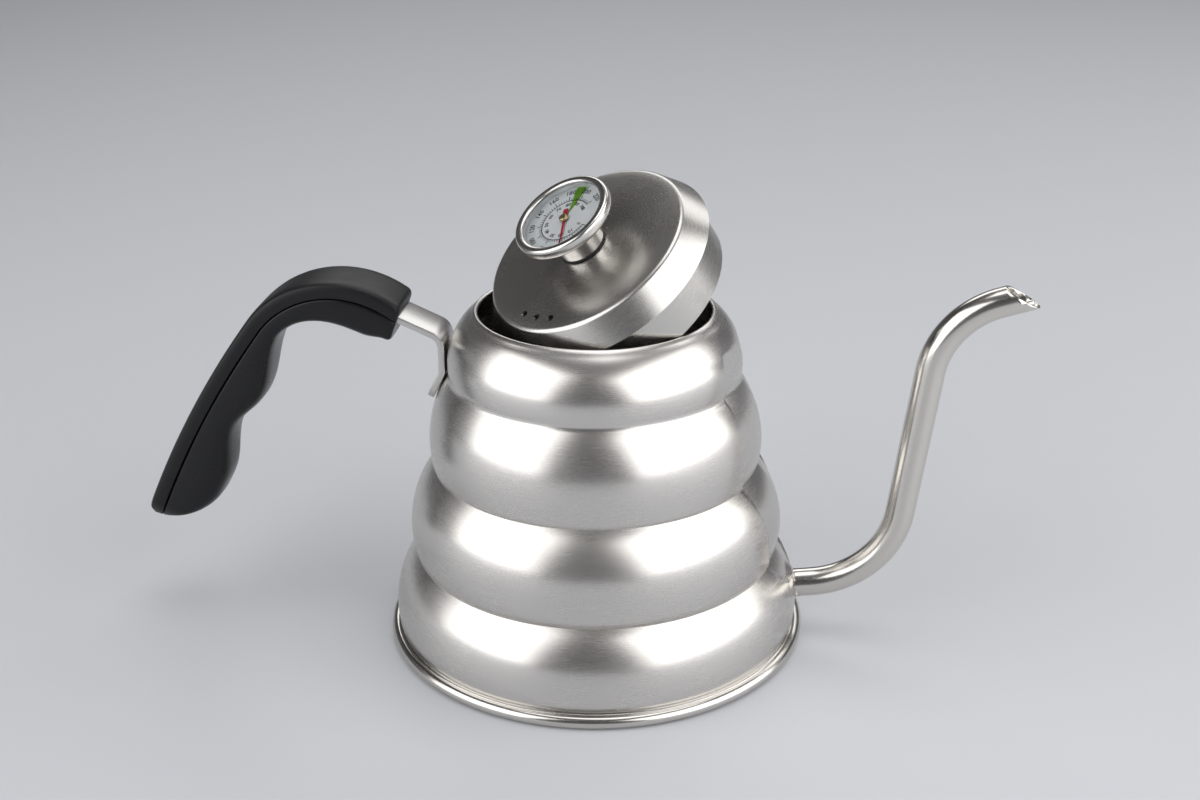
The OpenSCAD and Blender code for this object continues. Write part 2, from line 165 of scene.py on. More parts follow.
def tier_run(i, inset, step):
    """Points of one tier, from its low end to its high end."""
    q = tier_arc(i)
    low = SHELL_LOW if i == 3 else GROOVE_Z[i]
    start = math.degrees(math.asin((low - TIER_Z[i]) / (q - inset)))
    if i == 0:
        end = math.degrees(math.acos((MOUTH_R + LIP_R - TIER_R[0] + q) / (q - inset)))
    else:
        end = math.degrees(math.asin((GROOVE_Z[i - 1] - TIER_Z[i]) / (q - inset)))
    steps = max(6, round(math.radians(end - start) * q / step))
    return arc(TIER_R[i] - q, TIER_Z[i], q - inset, start, end, steps)


def wall_line(inset, step):
    line = []
    for i in (3, 2, 1, 0):
        run = tier_run(i, inset, step)
        line += run if not line else run[1:]
    return line


outside = wall_line(0, 1.5)
lip = arc(MOUTH_R + LIP_R, MOUTH_Z, LIP_R, 60, 250, 10)
inside = wall_line(SHEET, 4)[::-1]
body_bm = lathe(outside[:-1] + lip + inside[1:], steps=560)
print("profile points:", len(outside) + len(lip) + len(inside))

# %% [markdown]
# Beside the spout the tiers are pressed flatter, which leaves a crisp line down each side. Cutting the
# shell with a shape would break its smooth run, so we move its own points. The pressed faces are the same
# tiers moved sideways, so each point inside the line comes in by PRESS times the sine of its angle from the
# spout. The collar at the spout's root is drawn out of the same sheet by pulling points forward.

# %% Press the faces and draw the collar
PRESS = 4.0
# The line's half width at each height, as (height, half width)
LINE = [(16, 2.5), (20, 4.5), (26, 12.5), (40, 19), (47, 20), (62, 21.5), (78, 21), (98, 20), (106, 19),
        (112, 10)]
PRESS_TOP, PRESS_FADE, LINE_SOFT = 108, 4, 0.5
COLLAR_OUT, COLLAR_RUN, COLLAR_PROUD = 9.5, 5.5, 0.2
ROOT_Z, ROOT_RISE = 17.2, math.radians(8)
TUBE_R = 4.3


def line_half_width(z):
    if z <= LINE[0][0] or z >= LINE[-1][0]:
        return 0.0
    for (z0, y0), (z1, y1) in zip(LINE, LINE[1:]):
        if z <= z1:
            t = (z - z0) / (z1 - z0)
            return y0 + (y1 - y0) * t
    return 0.0


def soft_step(x):
    x = min(1.0, max(0.0, x))
    return x * x * (3 - 2 * x)


near_root = [f for f in body_bm.faces if f.calc_center_median().x > 55
             and abs(f.calc_center_median().y) < 12 and 8 < f.calc_center_median().z < 30]
edges = list({e for f in near_root for e in f.edges})
bmesh.ops.subdivide_edges(body_bm, edges=edges, cuts=1, use_grid_fill=True)
root_x = tier_wall(3, ROOT_Z)
collar_end = root_x + COLLAR_PROUD
for v in body_bm.verts:
    x, y, z = v.co
    r = math.hypot(x, y)
    if x <= 0 or r < 20:
        continue
    half = line_half_width(z)
    if half > 0 and abs(y) < half + LINE_SOFT:
        depth = PRESS * abs(y) / r * soft_step((half + LINE_SOFT - abs(y)) / (2 * LINE_SOFT))
        fade = soft_step((PRESS_TOP - z) / PRESS_FADE)
        v.co.x -= depth * fade * x / r
        v.co.y -= depth * fade * y / r
for v in body_bm.verts:
    if v.co.x > 50 and math.hypot(v.co.y, v.co.z - ROOT_Z) < 12:
        off = math.hypot(v.co.y, v.co.z - ROOT_Z)
        pull = soft_step((COLLAR_OUT - off) / COLLAR_RUN)
        goal = collar_end + (v.co.z - ROOT_Z) * math.sin(ROOT_RISE) * -0.5
        if v.co.x < goal:
            v.co.x += (goal - v.co.x) * pull ** 1.5
spout_hole = [v for v in body_bm.verts
              if v.co.x > 50 and math.hypot(v.co.y, v.co.z - ROOT_Z) < TUBE_R - 0.7]
bmesh.ops.delete(body_bm, geom=spout_hole, context="VERTS")
finish_piece(body_bm, "kettle_body", "kettle", ["body_shell"],
             sharp=50, merge=0)

# %% [markdown]
# ## The base
# A pan closes the kettle from below, and its edge is rolled into a round bead that stands out past the
# body. A torus on a disc would leave a seam, so the pan and its bead are one turned section, with a narrow
# step that reads as the dark line where the two sheets meet.

# %% Base pan
BASE_R, BEAD_R = node_reach("base_pan", 1), 2.2
bead = BASE_R - BEAD_R
base_line = ([(0, 0.8), (65.8, 0.8), (66.8, 1.8), (66.8, 4.5), (69.3, 4.55), (69.5, 4.3)]
             + arc(bead, BEAD_R, BEAD_R, 86, -88, 20) + [(69.6, 0), (60, 0), (30, 0), (0, 0)])
finish_piece(lathe(base_line, steps=240, closed=False), "base_bead", "kettle",
             ["base_pan"], sharp=60)

# %% [markdown]
# ## The spout
# The spout is a real tube, bent twice and cut on a slant at its tip. A bevelled curve would be quick, but
# its ends and bends are hard to state exactly. So a circle is pushed along each straight and spun round the
# centre of each bend, as a tube bender does. The cut comes next, and the wall gets its thickness last.

# %% Spout tube
root_low_x = root_x - 1.6
ROOT_LEN, LOW_BEND, RISER_LEAN, RISER_LEN, TOP_BEND, TIP_RISE = 8, 33, 83, 51, 30, 18
TIP_LEN, TIP_CUT = 7, 27
tube = bmesh.new()
heading = math.degrees(ROOT_RISE)
root_place = (Matrix.Translation((root_low_x, 0, ROOT_Z))
              @ Matrix.Rotation(math.radians(90 - heading), 4, "Y"))
bmesh.ops.create_circle(tube, cap_ends=False, segments=56, radius=TUBE_R, matrix=root_place)
ring = tube.edges[:]


def along(bm, ring, heading, length, steps):
    direction = Vector((math.cos(math.radians(heading)), 0, math.sin(math.radians(heading))))
    for _ in range(steps):
        made_now = bmesh.ops.extrude_edge_only(bm, edges=ring)["geom"]
        verts = [g for g in made_now if isinstance(g, bmesh.types.BMVert)]
        ring = [g for g in made_now if isinstance(g, bmesh.types.BMEdge) and all(v in verts for v in g.verts)]
        bmesh.ops.translate(bm, verts=verts, vec=direction * (length / steps))
    return ring


def round_bend(bm, ring, heading, turn, radius, steps):
    """Turn left with a positive turn, right with a negative one."""
    middle = sum((v.co for e in ring for v in e.verts), Vector()) / (2 * len(ring))
    side = 1 if turn > 0 else -1
    normal = Vector((-math.sin(math.radians(heading)), 0, math.cos(math.radians(heading)))) * side
    out = bmesh.ops.spin(bm, geom=ring, cent=middle + normal * radius, axis=(0, -1, 0),
                         angle=math.radians(turn), steps=steps, use_merge=False)
    return [g for g in out["geom_last"] if isinstance(g, bmesh.types.BMEdge)]


ring = along(tube, ring, heading, ROOT_LEN, 3)
ring = round_bend(tube, ring, heading, RISER_LEAN - heading, LOW_BEND, 44)
ring = along(tube, ring, RISER_LEAN, RISER_LEN, 12)
ring = round_bend(tube, ring, RISER_LEAN, TIP_RISE - RISER_LEAN, TOP_BEND, 40)
tip_start = sum((v.co for e in ring for v in e.verts), Vector()) / (2 * len(ring))
ring = along(tube, ring, TIP_RISE, TIP_LEN + 4 * TUBE_R, 10)
rise = math.radians(TIP_RISE)
tip = tip_start + Vector((math.cos(rise), 0, math.sin(rise))) * TIP_LEN
cut = math.radians(TIP_CUT)
bmesh.ops.bisect_plane(tube, geom=tube.verts[:] + tube.edges[:] + tube.faces[:], dist=1e-4, plane_co=tip,
                       plane_no=(math.sin(cut), 0, math.cos(cut)), clear_outer=True)
spout = finish_piece(tube, "spout", "kettle", ["spout_tube"], sharp=50)
wall = spout.modifiers.new("wall", "SOLIDIFY")
wall.thickness, wall.offset = 0.6 * MM, -1
wall.use_even_offset = True
print("spout tip in mm:", [round(v, 1) for v in tip])

# %% [markdown]
# A small weld bead closes the joint between the spout and the collar. It is a turned ring, open at the back
# where it meets the tube, leaning with the spout's first straight.

# %% Weld at the spout's root
weld_place = (Matrix.Translation((root_x + 0.4, 0, ROOT_Z + 0.25))
              @ Matrix.Rotation(math.radians(90 - heading), 4, "Y"))
WELD_R = 0.42
weld_line = arc(TUBE_R - 0.05, 0, WELD_R, 0, 324, 9)
finish_piece(lathe(weld_line, steps=60), "spout_seam", "kettle", ["spout_weld"], weld_place)

# %% [markdown]
# ## The handle
# A flat steel strap is bent up from its foot on the second tier and carries the grip on its far end. One
# edge follows the strap's middle line through the same straights and bends, its lower corners are rounded,
# and modifiers add the thickness and soft edges, which keeps the bends even.

# %% Strap
STRAP_W, STRAP_T, STRAP_X, CORNER_R, CLIMB, FOOT_LEN = 16, 2.2, -50.4, 5, 24, 10.5
FOOT_Z, FOOT_OFF, HEEL_R, TOP_Z = 88.5, 1.15, 6, 105.8
foot_lean = math.degrees(math.asin((FOOT_Z - TIER_Z[1]) / tier_arc(1)))
lean, climb = math.radians(foot_lean), math.radians(CLIMB)
foot = Vector((-(tier_wall(1, FOOT_Z) + FOOT_OFF * math.cos(lean)), 0, FOOT_Z + FOOT_OFF * math.sin(lean)))
leg_low = foot.z + (STRAP_X - foot.x) / math.tan(lean) + HEEL_R * math.tan(lean / 2)
leg_top = TOP_Z - CORNER_R * (1 - math.sin(climb)) / math.cos(climb)
strap = bmesh.new()
low = Vector((STRAP_X - HEEL_R * (1 - math.cos(lean)), 0, leg_low - HEEL_R * math.sin(lean)))
turn = 90 - foot_lean
start = low - Vector((math.cos(math.radians(turn)), 0, math.sin(math.radians(turn)))) * FOOT_LEN
a = strap.verts.new((start.x, -STRAP_W / 2, start.z))
b = strap.verts.new((start.x, STRAP_W / 2, start.z))
ring = [strap.edges.new((a, b))]
ring = along(strap, ring, turn, FOOT_LEN, 1)
ring = round_bend(strap, ring, turn, foot_lean, HEEL_R, 6)
ring = along(strap, ring, 90, leg_top - leg_low, 1)
ring = round_bend(strap, ring, 90, 90 - CLIMB, CORNER_R, 8)
ring = along(strap, ring, 180 - CLIMB, 22, 1)
ring = round_bend(strap, ring, 180 - CLIMB, 40, 30, 8)
FOOT_ROUND = 6.5
bmesh.ops.bevel(strap, geom=[a, b], offset=FOOT_ROUND, offset_type="OFFSET", segments=8, profile=0.5,
                affect="VERTICES", material=-1)
piece = finish_piece(strap, "strap", "kettle", ["handle_strap"], sharp=40)
wall = piece.modifiers.new("plate", "SOLIDIFY")
wall.thickness, wall.offset = STRAP_T * MM, 0
edge = piece.modifiers.new("edge", "BEVEL")
edge.width, edge.segments = 0.35 * MM, 3
edge.limit_method, edge.angle_limit = "ANGLE", math.radians(60)

# %% [markdown]
# The grip is two black mouldings clamped on the strap: a flat cap above, and a lower half with hollows for
# the fingers. It could be sculpted from a block, but the hollows would be hard to place. A loft sets rings
# across its line and bridges them. The top runs on a small arc and then a large one, and a cosine wave
# between named crests and hollows gives the finger shapes.

# %% The grip's line and depth
GRIP = dict(small=37.7, large=340, x=-86, z=87.1, start=52, turn=142.6, width=21, cap=5.5)
SMALL_LEN = GRIP["small"] * math.radians(GRIP["turn"] - GRIP["start"])
GRIP_LEN = SMALL_LEN + 84.5
TAIL = 17.5
WAVE = [(0, 14), (10, 17), (56, 11.6), (83, 18.6), (98, 15.7), (121, 21.5), (GRIP_LEN, 20.5)]


def grip_top(s):
    turn = math.radians(GRIP["turn"])
    if s <= SMALL_LEN:
        a = math.radians(GRIP["start"]) + s / GRIP["small"]
        r, shift = GRIP["small"], 0.0
    else:
        a = turn + (s - SMALL_LEN) / GRIP["large"]
        r, shift = GRIP["large"], GRIP["small"] - GRIP["large"]
    point = Vector((GRIP["x"] + shift * math.cos(turn) + r * math.cos(a), 0,
                    GRIP["z"] + shift * math.sin(turn) + r * math.sin(a)))
    down = max(math.radians(250), a + math.pi)
    return point, Vector((math.cos(down), 0, math.sin(down)))


def grip_depth(s):
    for (s0, d0), (s1, d1) in zip(WAVE, WAVE[1:]):
        if s <= s1:
            depth = d0 + (d1 - d0) * (1 - math.cos(math.pi * (s - s0) / (s1 - s0))) / 2
            break
    u = max(0.0, s - (GRIP_LEN - TAIL)) / TAIL
    return depth * math.sqrt(max(0.0, 1 - u * u))


# %% Loft the two mouldings
def slice_ring(bm, s, half, upper, lower, top_bulge, low_bulge, count=32):
    """One ring across the grip between two depths; the bulge powers round its top and its underside."""
    point, down = grip_top(s)
    ring = bmesh.ops.create_circle(bm, cap_ends=False, segments=count, radius=1)["verts"]
    middle = (upper + lower) / 2
    for v in ring:
        a = math.atan2(v.co.y, v.co.x)
        c, t = math.cos(a), math.sin(a)
        power = low_bulge if t < 0 else top_bulge
        y = half * math.copysign(abs(c) ** power, c)
        d = middle - math.copysign(abs(t) ** power, t) * (lower - upper) / 2
        v.co = point + down * d + Vector((0, y, 0))
    return list({e for v in ring for e in v.link_edges})


NOSE_R, TAIL_R = 1.6, 3.2


def nose_inset(s):
    return NOSE_R - math.sqrt(max(0.0, NOSE_R ** 2 - (NOSE_R - min(s, NOSE_R)) ** 2))


def tail_drop(s):
    reach = min(TAIL_R, max(0.0, s - (GRIP_LEN - TAIL_R)))
    return TAIL_R - math.sqrt(max(0.0, TAIL_R ** 2 - reach ** 2))


def tail_narrow(s):
    share = max(0.0, s - (GRIP_LEN - 7)) / 7
    return 1 - 0.3 * share ** 2


def stations(stop, even=84, end=9):
    nose = [NOSE_R * (1 - math.cos(math.radians(15 * k))) for k in range(6)]
    middle = [NOSE_R + (stop - end - NOSE_R) * k / even for k in range(even)]
    tail = [stop - end + end * math.sin(math.radians(6 * k)) for k in range(16)]
    return nose + middle + tail


def loft(ring_at, name, node, stop):
    bm = bmesh.new()
    rings = [ring_at(bm, s) for s in stations(stop)]
    for one, two in zip(rings, rings[1:]):
        bmesh.ops.bridge_loops(bm, edges=one + two)
    for ring in (rings[0], rings[-1]):
        face = bmesh.ops.contextual_create(bm, geom=ring)["faces"]
        bmesh.ops.inset_region(bm, faces=face, thickness=0.4, depth=0.0)
    return finish_piece(bm, name, "kettle", [node], sharp=60, merge=0.0005)


CAP, HALF, PARTING = GRIP["cap"], GRIP["width"] / 2, 0.07
CAP_END, LOW_END = GRIP_LEN - 0.16, GRIP_LEN - 0.75


def cap_ring(bm, s):
    inset = nose_inset(s)
    return slice_ring(bm, s, HALF * tail_narrow(s) - inset, tail_drop(s) + inset,
                      min(CAP, grip_depth(s)) - PARTING * 0.5, 0.4, 0.12)


def finger_ring(bm, s):
    inset = nose_inset(s)
    return slice_ring(bm, s, (HALF - 0.25) * tail_narrow(s) - inset, CAP + PARTING,
                      grip_depth(s) - inset, 0.12, 0.62)


loft(cap_ring, "grip_cap", "grip_upper", CAP_END)
loft(finger_ring, "grip_fingers", "grip_lower", LOW_END)

# %% [markdown]
# ## The lid
# The lid lies askew in the mouth. Each piece could be turned by its own numbers, but they would soon
# disagree. So one matrix, taken from the pointer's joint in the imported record, places everything that
# belongs to it. The cover is pressed sheet: a nearly flat top, a sloping side band and a rolled hem, so it
# is turned.

# %% Where the lid lies
pivot = joints["pointer_turn"]
lean_x, lean_y, lean_z = pivot["axis"]
# The record keeps five digits of the axis, so the angles are read to a tenth of a degree.
LEAN_TO = math.radians(round(math.degrees(math.atan2(lean_y, lean_x)) % 360, 1))
TILT = math.radians(round(math.degrees(math.acos(lean_z)), 1))
LID_AT = Vector([round(value / MM, 2) for value in pivot["pos_m"]])
LID = (Matrix.Translation(LID_AT) @ Matrix.Rotation(LEAN_TO, 4, "Z") @ Matrix.Rotation(TILT, 4, "Y")
       @ Matrix.Rotation(-LEAN_TO, 4, "Z"))
LID_R, LID_TOP_R, LID_H, CROWN, SKIRT_R = 40.1, 34.7, 8.9, 1.4, 37.7
LID_MID = LID_H + CROWN
crown_r = (LID_TOP_R ** 2 + CROWN ** 2) / (2 * CROWN)


def crown(r):
    return LID_MID - crown_r + math.sqrt(crown_r ** 2 - r * r)


print("lid at", list(LID_AT), "leaning", round(math.degrees(TILT), 1), "degrees")


# %% Lid cover
HOLE_R = 5.05
top_radii = [HOLE_R + k * (LID_TOP_R - 0.2 - HOLE_R) / 24 for k in range(25)]
top = [(r, crown(r)) for r in top_radii]
cover_out = fillet(top[:-3] + [(LID_TOP_R, LID_H), (LID_R, 0.25)], 1.0, 5)
cover_out = cover_out[:-1] + [(LID_R - 0.15, 0.05), (LID_R - 0.5, 0.0)]
under = [(r, crown(r) - 0.8) for r, _ in top[-4::-3]]
cover_in = [(SKIRT_R + 0.15, 0.0), (SKIRT_R + 0.15, 0.7), (LID_R - 1.3, 0.7), (LID_TOP_R - 1.2, LID_H - 1.1)]
cover_line = cover_out + cover_in + under
cover_bm = lathe(cover_line, steps=240)
cover = finish_piece(cover_bm, "lid_top", "lid", ["lid_cover"], LID, sharp=48)

# %% [markdown]
# Three steam vents are drilled through the cover near its edge. Rings of edges could be cut in by hand, but
# a boolean modifier with three pins is what a drill does. Its result is applied, so that no helper is left.

# %% Drill the vents
VENT_R, VENT_AT, VENT_TURN, VENT_STEP = 1.15, 29.7, 235.2, 11.5
pins = bmesh.new()
for k in (-1, 0, 1):
    a = math.radians(VENT_TURN + k * VENT_STEP)
    bmesh.ops.create_cone(pins, cap_ends=True, segments=24, radius1=VENT_R, radius2=VENT_R, depth=8,
                          matrix=Matrix.Translation((VENT_AT * math.cos(a), VENT_AT * math.sin(a), LID_H)))
bmesh.ops.transform(pins, matrix=Matrix.Scale(MM, 4) @ LID, verts=pins.verts)
pin_mesh = bpy.data.meshes.new("vent_pins")
pins.to_mesh(pin_mesh)
pins.free()
pin_object = bpy.data.objects.new("vent_pins", pin_mesh)
bpy.context.scene.collection.objects.link(pin_object)
drill = cover.modifiers.new("vents", "BOOLEAN")
drill.object, drill.operation, drill.solver = pin_object, "DIFFERENCE", "EXACT"
bpy.context.view_layer.update()
drilled = bpy.data.meshes.new_from_object(cover.evaluated_get(bpy.context.evaluated_depsgraph_get()))
cover.modifiers.clear()
cover.data = drilled
bpy.data.objects.remove(pin_object)
cover.data.set_sharp_from_angle(angle=math.radians(48))
print("lid_top drilled:", len(cover.data.polygons), "faces")

# %% [markdown]
# Below the cover a short skirt plugs the mouth, and a black grommet grips the stem. Both are round, so both
# are lathes. They are pieces of their own because the real ones are: the skirt is welded in, the grommet
# pushed.

# %% Plug skirt
skirt_line = [(SKIRT_R, 0.7), (SKIRT_R, -14.2), (SKIRT_R - 0.4, -14.4), (SKIRT_R - 0.8, -14.1),
              (SKIRT_R - 0.8, 0.7)]
finish_piece(lathe(skirt_line, steps=240), "lid_plug", "lid", ["lid_skirt"], LID, sharp=60)

# %% Grommet round the stem
NECK_R, COLLAR_R, NECK_LOW = 7.9, 8.1, LID_MID + 0.6
grommet_line = ([(2.05, LID_MID - 2.3), (6.6, LID_MID - 2.3), (6.6, LID_MID - 0.9), (5.0, LID_MID - 0.85),
                 (5.0, LID_MID)]
                + [(COLLAR_R - 0.1, LID_MID), (COLLAR_R, LID_MID + 0.1), (COLLAR_R, LID_MID + 0.4),
                   (COLLAR_R - 0.15, LID_MID + 0.5), (2.05, LID_MID + 0.5)])
finish_piece(lathe(grommet_line, steps=72), "stem_seal", "lid", ["stem_grommet"],
             LID, sharp=60)

# %% [markdown]
# ## The thermometer
# A polished case with a rolled bezel holds a dial under glass, on a short neck that stands on the lid. All
# three are turned parts on the real one. They are three lathes here too, so that their seams are real gaps.

# %% Case, neck and bezel
CASE_LOW = LID_MID + 8.8
DIAL_R, HEAD_TOP = 16.8, CASE_LOW + 6.2
CASE_R = DIAL_R - 0.8
GLASS_LOW = HEAD_TOP - 0.8 - 0.05 - 1.2
PLATE_Z = GLASS_LOW - 2.2
CUP_FLOOR = CASE_LOW + 1.2
STEM_HOLE_R = 2.1
neck_out = [(STEM_HOLE_R, NECK_LOW), (NECK_R, NECK_LOW), (NECK_R, CUP_FLOOR - 0.6),
            (NECK_R + 0.5, CUP_FLOOR - 0.05)]
neck_line = fillet(neck_out, 0.4) + [(NECK_R - 0.8, CUP_FLOOR - 0.05), (NECK_R - 0.8, NECK_LOW + 0.8),
                                     (STEM_HOLE_R, NECK_LOW + 0.8)]
finish_piece(lathe(neck_line, steps=96), "dial_neck", "thermometer", ["case_neck"],
             LID, sharp=50)
cup_out = [(STEM_HOLE_R, CUP_FLOOR), (CASE_R - 1.2, CUP_FLOOR), (CASE_R, CUP_FLOOR + 1.2),
           (CASE_R, HEAD_TOP - 1.25)]
cup_line = fillet(cup_out, 1.0) + [(CASE_R - 0.6, HEAD_TOP - 1.25), (CASE_R - 0.6, CUP_FLOOR + 1.4),
                                   (CASE_R - 1.6, CUP_FLOOR + 0.5), (STEM_HOLE_R, CUP_FLOOR + 0.5)]
finish_piece(lathe(cup_line, steps=128), "dial_case", "thermometer", ["case_cup"],
             LID, sharp=50)
bezel_line = (arc(DIAL_R - 1.1, HEAD_TOP - 1.1, 1.1, 100, 0, 10)
              + arc(DIAL_R - 0.6, HEAD_TOP - 2.8, 0.6, 0, -90, 5)
              + [(CASE_R + 0.05, HEAD_TOP - 3.4), (CASE_R + 0.05, HEAD_TOP - 0.8), (14.1, HEAD_TOP - 0.8),
                 (14.1, HEAD_TOP - 0.45), (14.3, HEAD_TOP - 0.25), (14.8, HEAD_TOP - 0.06)])
finish_piece(lathe(bezel_line, steps=160), "dial_bezel", "thermometer", ["bezel_ring"],
             LID, sharp=50)

# %% [markdown]
# The glass is a disc that domes slightly, which bends its highlight. A flat disc would look like no glass
# at all. Its few profile points follow the dome, and it is closed on the axis.

# %% Glass
glass_r = CASE_R - 0.9
glass_line = [(0, GLASS_LOW), (glass_r, GLASS_LOW), (glass_r, GLASS_LOW + 1.15), (14.0, GLASS_LOW + 1.18),
              (9, GLASS_LOW + 1.26), (4, GLASS_LOW + 1.31), (0, GLASS_LOW + 1.33)]
finish_piece(lathe(glass_line, steps=96, closed=False), "dial_glass", "thermometer",
             ["lens"], LID)

# %% [markdown]
# The dial is a printed plate with a raised rim. A painted picture would blur close up, so the plate is
# turned, and ticks, arcs, zone and numbers are thin shapes laid on it. The numbers are plain degrees.

# %% Dial plate
plate_line = [(1.9, PLATE_Z), (15.2, PLATE_Z), (15.2, GLASS_LOW - 0.1), (14.7, GLASS_LOW - 0.1),
              (14.35, PLATE_Z + 0.4), (1.0, PLATE_Z + 0.4), (1.0, PLATE_Z + 0.3)]
finish_piece(lathe(plate_line, steps=96), "dial_card", "thermometer", ["dial_plate"],
             LID, sharp=50)
INK_Z = PLATE_Z + 0.42

# %% Ticks, arc and green zone
SCALE_START, SCALE_SWEEP = 318.0, -296.0


def scale_angle(share):
    return math.radians(SCALE_START + SCALE_SWEEP * share)


def ink_bar(bm, a, r0, r1, width, low=INK_Z, thick=0.03):
    box = bmesh.ops.create_cube(bm, size=1)["verts"]
    bmesh.ops.scale(bm, vec=(r1 - r0, width, thick), verts=box)
    bmesh.ops.translate(bm, vec=((r0 + r1) / 2, 0, low + thick / 2), verts=box)
    bmesh.ops.rotate(bm, cent=(0, 0, 0), matrix=Matrix.Rotation(a, 3, "Z"), verts=box)


ink = bmesh.new()
for k in range(51):
    ink_bar(ink, scale_angle(k / 50), 8.4, 9.5 if k % 5 else 10.3, 0.2 if k % 5 else 0.3)
for k in range(96):
    ink_bar(ink, scale_angle((k + 0.5) / 96), 8.3, 8.6, 0.5)
finish_piece(ink, "dial_ticks", "thermometer", [], LID, sharp=30, merge=0)
green = bmesh.new()
sector = [green.verts.new((r * math.cos(math.radians(a)), r * math.sin(math.radians(a)), INK_Z - 0.02))
          for r, a in [(2.2, 66)] + [(14.3, 74 - k * 3) for k in range(8)]]
face = green.faces.new(sector)
bmesh.ops.solidify(green, geom=[face], thickness=0.03)
finish_piece(green, "dial_zone", "thermometer", [], LID, sharp=30, merge=0)

# %% Numbers on the dial
def number(text, share, radius, size):
    curve = bpy.data.curves.new("number", "FONT")
    curve.body, curve.size, curve.resolution_u = text, size, 2
    curve.extrude, curve.offset = 0.015, 0.035
    curve.align_x, curve.align_y = "CENTER", "CENTER"
    holder = bpy.data.objects.new("number", curve)
    mesh = bpy.data.meshes.new_from_object(holder)
    a = scale_angle(share)
    place = (Matrix.Translation((radius * math.cos(a), radius * math.sin(a), INK_Z + 0.015))
             @ Matrix.Rotation(a - math.pi / 2, 4, "Z"))
    mesh.transform(place)
    bpy.data.objects.remove(holder)
    bpy.data.curves.remove(curve)
    return mesh


numbers = bmesh.new()
for k in range(11):
    numbers.from_mesh(number(str(20 * k + 20), k / 10, 12.2, 2.5))
for k in range(11):
    numbers.from_mesh(number(str(10 * k), k / 10, 6.7, 1.9))
finish_piece(numbers, "dial_numbers", "thermometer", [], LID, sharp=30, merge=0)

# %% [markdown]
# The pointer is stamped from thin sheet with a counterweight behind its hub. One flat outline is given its
# thickness, and the hub is turned. Both ride on the pointer's body, so they turn over the dial.

# %% Pointer
TURN = Matrix.Rotation(math.radians(263), 4, "Z")
NEEDLE_Z = PLATE_Z + 0.9
needle = bmesh.new()
outline = [(-4.6, -0.75), (-4.0, -0.95), (-1.2, -0.75), (0, -0.55), (11.6, -0.16), (11.9, 0),
           (11.6, 0.16), (0, 0.55), (-1.2, 0.75), (-4.0, 0.95), (-4.6, 0.75)]
face = needle.faces.new([needle.verts.new((x, y, NEEDLE_Z)) for x, y in outline])
bmesh.ops.solidify(needle, geom=[face], thickness=-0.3)
finish_piece(needle, "needle", "pointer", ["pointer_needle"], LID @ TURN, sharp=30, merge=0)
hub_out = [(0, NEEDLE_Z + 1.1), (1.3, NEEDLE_Z + 1.1), (1.6, NEEDLE_Z + 0.35)]
hub_line = fillet(hub_out, 0.3) + [(0, NEEDLE_Z + 0.35)]
finish_piece(lathe(hub_line, steps=32, closed=False), "needle_hub", "pointer",
             ["pointer_hub"], LID @ TURN)

# %% [markdown]
# ## Finishes
# Brushed steel has fine lines along the brushing, and they catch the light across it. A picture of
# scratches would stretch on a round shape. Instead a noise is stretched along the angle round the axis and
# packed tight across it. It drives the roughness, a slight change of tone and a very small bump.

# %% A material to start from
def new_material(name, color, metallic, roughness):
    mat = bpy.data.materials.new(name)
    mat.use_nodes = True
    shader = mat.node_tree.nodes["Principled BSDF"]
    shader.inputs["Base Color"].default_value = (*color, 1)
    shader.inputs["Metallic"].default_value = metallic
    shader.inputs["Roughness"].default_value = roughness
    return mat, mat.node_tree.nodes, mat.node_tree.links, shader


def math_node(nodes, links, kind, a, b=None):
    node = nodes.new("ShaderNodeMath")
    node.operation = kind
    for socket, value in zip(node.inputs, (a, b)):
        if value is None:
            continue
        if isinstance(value, (int, float)):
            socket.default_value = value
        else:
            links.new(value, socket)
    return node.outputs[0]


def ranged(nodes, links, source, low, high, start=0.25, end=0.75):
    node = nodes.new("ShaderNodeMapRange")
    node.inputs["From Min"].default_value, node.inputs["From Max"].default_value = start, end
    node.inputs["To Min"].default_value, node.inputs["To Max"].default_value = low, high
    links.new(source, node.inputs["Value"])
    return node.outputs["Result"]


def noise(nodes, links, vector, scale, detail=3.0, rough=0.6):
    node = nodes.new("ShaderNodeTexNoise")
    node.inputs["Scale"].default_value = scale
    node.inputs["Detail"].default_value = detail
    node.inputs["Roughness"].default_value = rough
    links.new(vector, node.inputs["Vector"])
    return node.outputs["Fac"]


